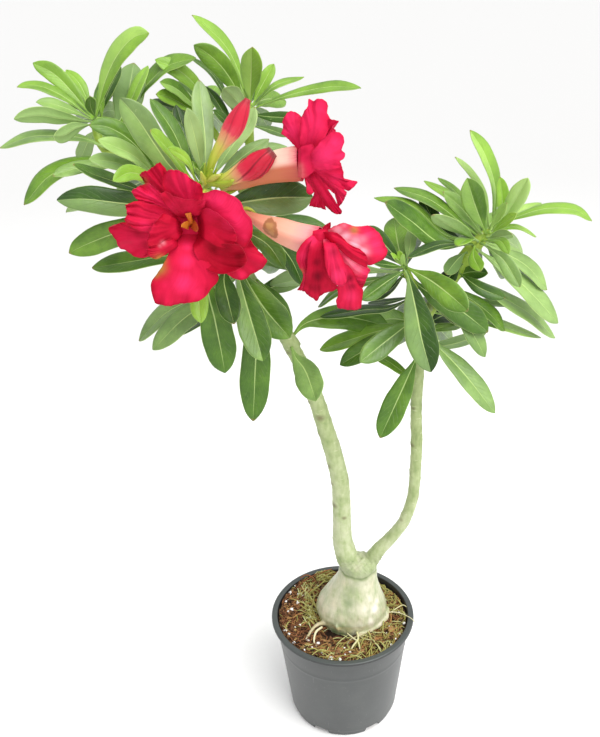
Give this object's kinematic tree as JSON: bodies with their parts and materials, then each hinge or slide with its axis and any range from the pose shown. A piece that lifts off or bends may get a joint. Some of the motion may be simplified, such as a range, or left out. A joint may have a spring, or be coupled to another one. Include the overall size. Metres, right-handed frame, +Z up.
{
  "type": "potted desert rose",
  "caption": "Desert rose plant with a swollen base, forked bare stems, leafy shoots, buds and ruffled red flowers, growing in coir mix in a round grey nursery pot.",
  "frame": {"origin": "centre of the pot's underside, on the surface it stands on", "axes": "+Z up; -Y is the side that faces the viewer in the reference view, where the large open flower faces out; +X is to that viewer's right"},
  "size_m": [0.4124, 0.2455, 0.6214],
  "materials": {
    "pot": "satin",
    "potting_mix": "matte",
    "swollen_base": "satin",
    "stem": "satin",
    "shoot": "satin",
    "leaf": "satin",
    "petal": "matte",
    "bud": "satin",
    "young_bud": "satin"
  },
  "bodies": {
    "root": {"nursery_pot": "pot", "caudex": "swollen_base", "potting_mix": "potting_mix", "left_stem": "stem", "right_stem": "stem", "bud_cluster": "young_bud", "bud_upper": "bud", "bud_lower": "bud", "flower_main": "petal", "flower_upper": "petal", "flower_lower": "petal", "leaf_left_01": "leaf", "leaf_left_02": "leaf", "leaf_left_03": "leaf", "leaf_left_04": "leaf", "leaf_left_05": "leaf", "leaf_left_06": "leaf", "leaf_left_07": "leaf", "leaf_left_08": "leaf", "leaf_left_09": "leaf", "leaf_left_10": "leaf", "leaf_left_11": "leaf", "leaf_left_12": "leaf", "leaf_left_13": "leaf", "leaf_left_14": "leaf", "leaf_left_15": "leaf", "leaf_left_16": "leaf", "leaf_left_17": "leaf", "leaf_left_18": "leaf", "leaf_left_19": "leaf", "leaf_left_20": "leaf", "leaf_left_21": "leaf", "leaf_left_22": "leaf", "leaf_right_01": "leaf", "leaf_right_02": "leaf", "leaf_right_03": "leaf", "leaf_right_04": "leaf", "leaf_right_05": "leaf", "leaf_right_06": "leaf", "leaf_right_07": "leaf", "leaf_right_08": "leaf", "leaf_right_09": "leaf", "leaf_right_10": "leaf", "leaf_right_11": "leaf", "leaf_right_12": "leaf", "leaf_right_13": "leaf", "leaf_right_14": "leaf", "leaf_right_15": "leaf", "leaf_left_23": "leaf", "left_crown_stem": "shoot", "right_crown_stem": "shoot", "left_outer_shoot": "shoot", "flower_shoot": "shoot", "left_top_shoot": "shoot", "left_back_shoot": "shoot", "right_inner_shoot": "shoot", "right_outer_shoot": "shoot"}
  },
  "joints": []
}
